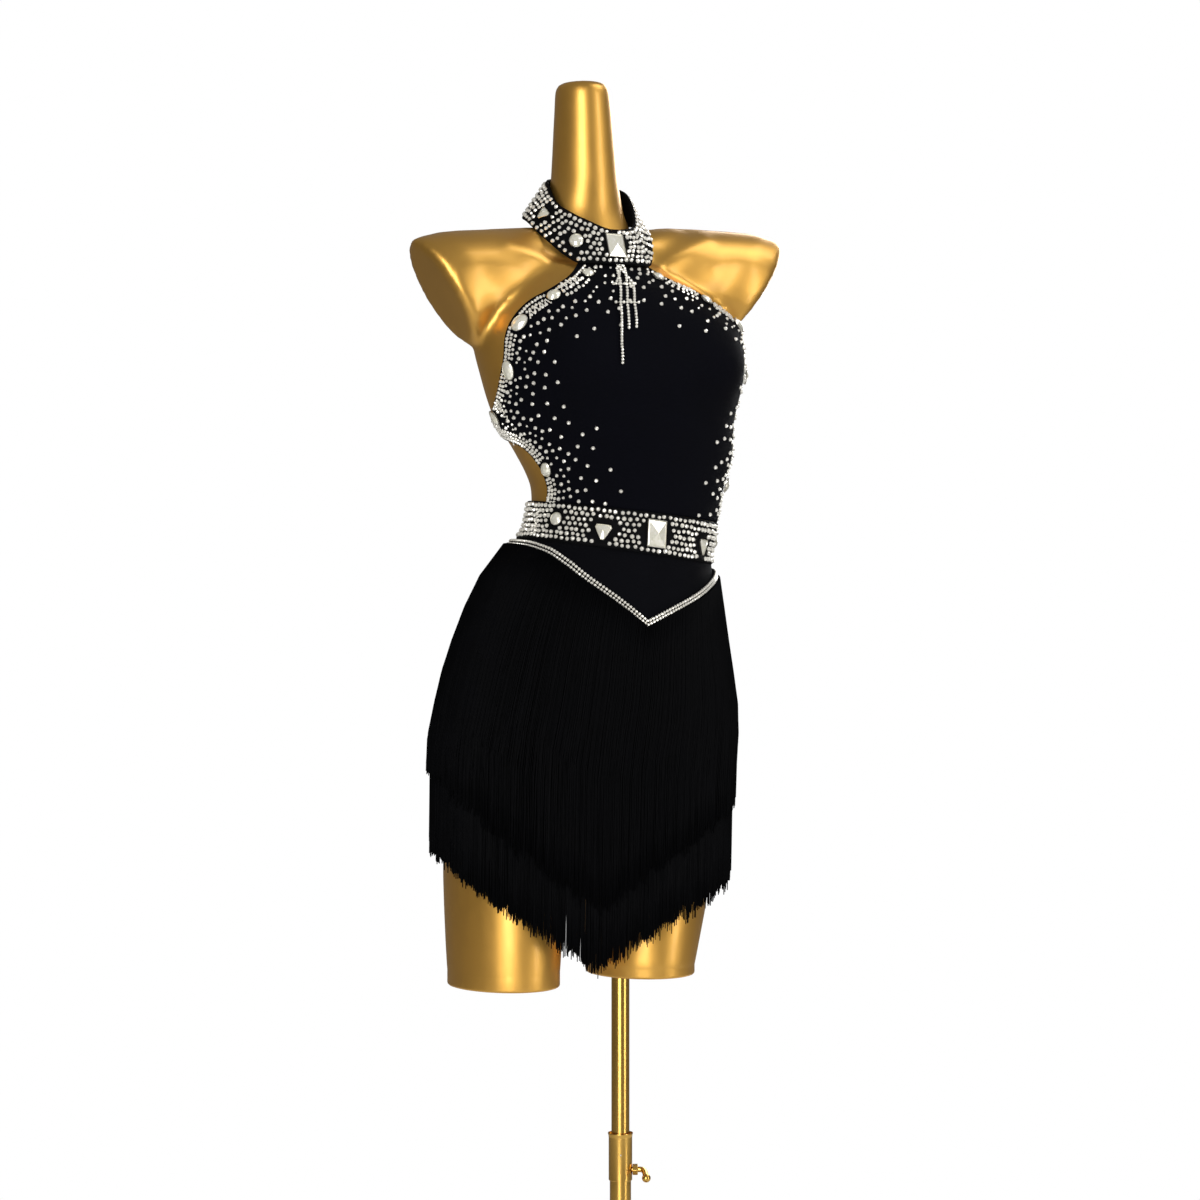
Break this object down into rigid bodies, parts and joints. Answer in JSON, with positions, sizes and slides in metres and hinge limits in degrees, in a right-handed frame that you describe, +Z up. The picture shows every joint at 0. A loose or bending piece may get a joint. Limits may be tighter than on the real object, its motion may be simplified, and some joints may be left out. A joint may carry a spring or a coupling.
{
  "type": "fringed halter dance dress on a torso dress form with stand",
  "caption": "Black fringed halter dance dress with a stone-set collar, waist belt and hip chain, on a gold armless torso form that turns on a telescopic pole with a round base.",
  "frame": {"origin": "on the floor, under the middle of the bounding box of dress, form and stand", "axes": "+Z up, -Y the way the dress faces, +X towards the wearer's left"},
  "size_m": [0.4354, 0.34, 1.586],
  "materials": {
    "gold_paint": "satin gold lacquer on a moulded shell",
    "brass": "polished brass plate",
    "black_crepe": "matt black stretch crepe",
    "black_knit": "matt black stretch knit",
    "black_fringe": "fine twisted black strands with a soft sheen",
    "stone_band": "small clear foiled stones set close in metal cups",
    "stone_glass": "faceted clear stones with a foil back",
    "steel": "flat bent hook"
  },
  "bodies": {
    "stand": {"stand_base": "brass", "stand_hub": "brass", "stand_outer_tube": "brass", "stand_sleeve": "brass", "clamp_nut": "brass"},
    "pole": {"stand_inner_tube": "brass"},
    "dress_form": {"back_strap": "black_crepe", "bodice_front": "black_crepe", "collar_hook": "steel", "form_torso": "gold_paint", "fringe_lower": "black_fringe", "fringe_upper": "black_fringe", "halter_collar": "black_crepe", "hip_chain": "stone_band", "pendant_strand_left": "stone_band", "pendant_strand_middle": "stone_band", "pendant_strand_right": "stone_band", "skirt_base_back": "black_knit", "skirt_base_front": "black_knit", "stone_arm_left": "stone_glass", "stone_arm_right": "stone_glass", "stone_belt_round_left": "stone_glass", "stone_belt_round_right": "stone_glass", "stone_belt_square": "stone_glass", "stone_belt_triangle_left": "stone_glass", "stone_belt_triangle_right": "stone_glass", "stone_chest_middle_left": "stone_glass", "stone_chest_middle_right": "stone_glass", "stone_chest_top_left": "stone_glass", "stone_chest_top_right": "stone_glass", "stone_collar_round": "stone_glass", "stone_collar_square": "stone_glass", "stone_collar_triangle": "stone_glass", "stone_cut_left": "stone_glass", "stone_cut_right": "stone_glass", "stone_side_left": "stone_glass", "stone_side_right": "stone_glass", "stone_wing_left": "stone_glass", "stone_wing_right": "stone_glass", "waist_belt": "black_crepe"},
    "screw": {"thumb_screw": "brass"}
  },
  "joints": [
    {"name": "pole_height", "type": "slide", "parent": "stand", "child": "pole", "axis": [0, 0, 1], "range_m": [-0.13, 0.2]},
    {"name": "form_turn", "type": "hinge", "parent": "pole", "child": "dress_form", "pos_m": [0.0172, 0, 0.7], "axis": [0, 0, 1], "continuous": true},
    {"name": "screw_turn", "type": "hinge", "parent": "stand", "child": "screw", "pos_m": [0.0172, 0, 0.444], "axis": [0.8829, -0.4695, 0], "range_deg": [0, 360]}
  ]
}
